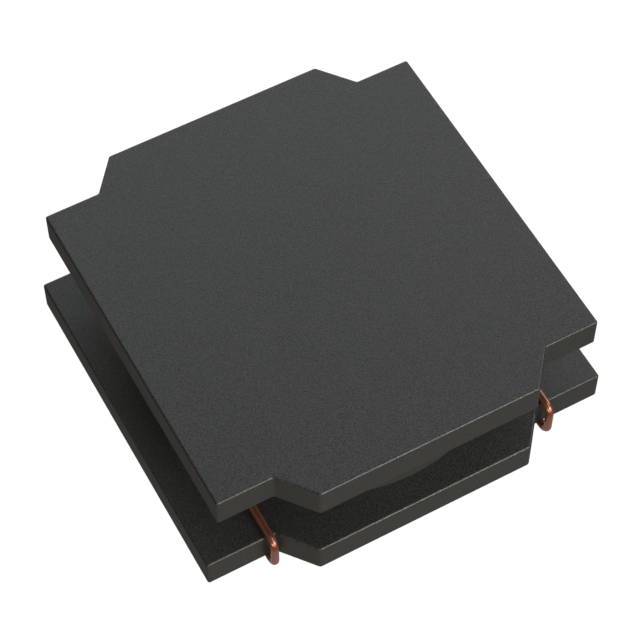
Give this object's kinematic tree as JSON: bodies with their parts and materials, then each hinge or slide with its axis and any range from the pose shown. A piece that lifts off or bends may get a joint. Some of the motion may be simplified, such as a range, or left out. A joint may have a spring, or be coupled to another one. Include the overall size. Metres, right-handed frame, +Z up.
{
  "type": "shielded surface-mount power inductor",
  "caption": "Low square power inductor: notched ferrite drum core, hidden coil in a magnetic resin coat, and wire ends hooked over the base to soldered pads.",
  "frame": {"origin": "on the seating plane, under the middle of the body", "axes": "+Z up, away from the board; -Y is the side where both wire ends hook round the base; the start terminal is at -X"},
  "size_m": [0.006, 0.006, 0.0022],
  "materials": {
    "ferrite": "matt sintered ferrite, fine grain",
    "copper_wire": "enamelled copper wire",
    "magnetic_resin": "matt epoxy filled with ferrite powder",
    "plating": "satin tin plating",
    "solder": "satin solder"
  },
  "bodies": {
    "root": {"drum_core": "ferrite", "winding": "copper_wire", "resin_coat": "magnetic_resin", "start_electrode": "plating", "finish_electrode": "plating", "start_solder": "solder", "finish_solder": "solder"}
  },
  "joints": []
}
